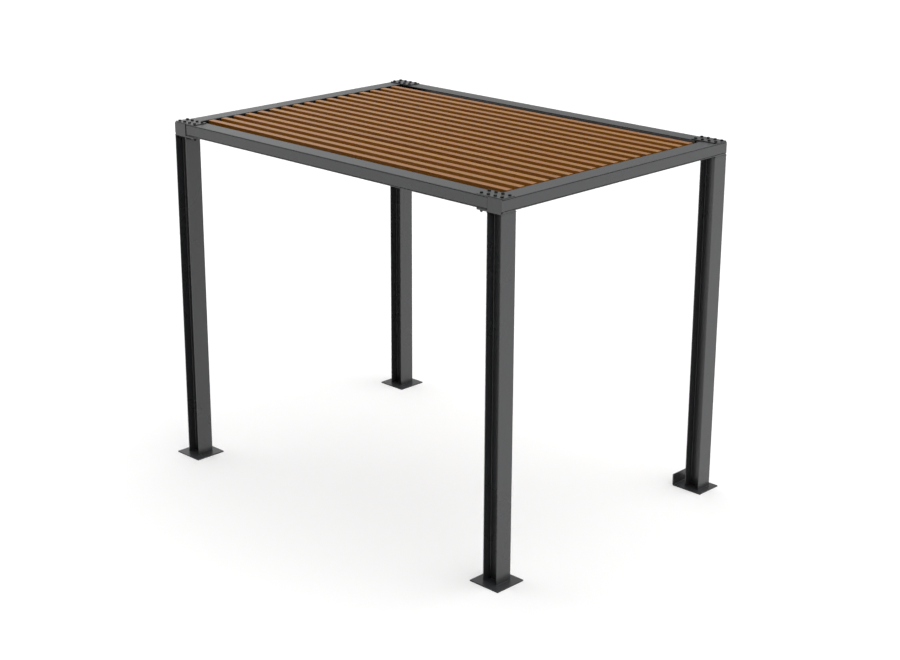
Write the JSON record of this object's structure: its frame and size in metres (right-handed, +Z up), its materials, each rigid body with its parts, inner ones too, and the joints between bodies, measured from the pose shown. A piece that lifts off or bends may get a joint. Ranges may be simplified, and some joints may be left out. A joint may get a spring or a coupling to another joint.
{
  "type": "slatted roof pergola with a steel frame",
  "caption": "Free-standing rectangular pergola: steel posts on foot plates carry a bolted channel frame filled with parallel wooden slats.",
  "frame": {"origin": "on the floor under the middle of the roof", "axes": "+X along the long beams to the right, +Y to the back, +Z up"},
  "size_m": [3.116, 2.242, 2.411],
  "materials": {
    "frame_steel": "anthracite powder coat, fine satin",
    "slat_wood": "planed softwood with a brown oil stain",
    "bolt_steel": "black coated bolts"
  },
  "bodies": {
    "root": {"post_front_left": "frame_steel", "foot_front_left": "frame_steel", "end_cap_front_left": "frame_steel", "lower_joint_plate_front_left": "frame_steel", "upper_joint_plate_front_left": "frame_steel", "post_front_right": "frame_steel", "foot_front_right": "frame_steel", "end_cap_front_right": "frame_steel", "lower_joint_plate_front_right": "frame_steel", "upper_joint_plate_front_right": "frame_steel", "post_back_left": "frame_steel", "foot_back_left": "frame_steel", "end_cap_back_left": "frame_steel", "lower_joint_plate_back_left": "frame_steel", "upper_joint_plate_back_left": "frame_steel", "post_back_right": "frame_steel", "foot_back_right": "frame_steel", "end_cap_back_right": "frame_steel", "lower_joint_plate_back_right": "frame_steel", "upper_joint_plate_back_right": "frame_steel", "long_beam_front": "frame_steel", "long_beam_back": "frame_steel", "short_beam_left": "frame_steel", "short_beam_right": "frame_steel", "slat_bearer_left": "frame_steel", "slat_bearer_right": "frame_steel", "slat_01": "slat_wood", "slat_02": "slat_wood", "slat_03": "slat_wood", "slat_04": "slat_wood", "slat_05": "slat_wood", "slat_06": "slat_wood", "slat_07": "slat_wood", "slat_08": "slat_wood", "slat_09": "slat_wood", "slat_10": "slat_wood", "slat_11": "slat_wood", "slat_12": "slat_wood", "slat_13": "slat_wood", "slat_14": "slat_wood", "slat_15": "slat_wood", "slat_16": "slat_wood", "slat_17": "slat_wood"}
  },
  "joints": []
}
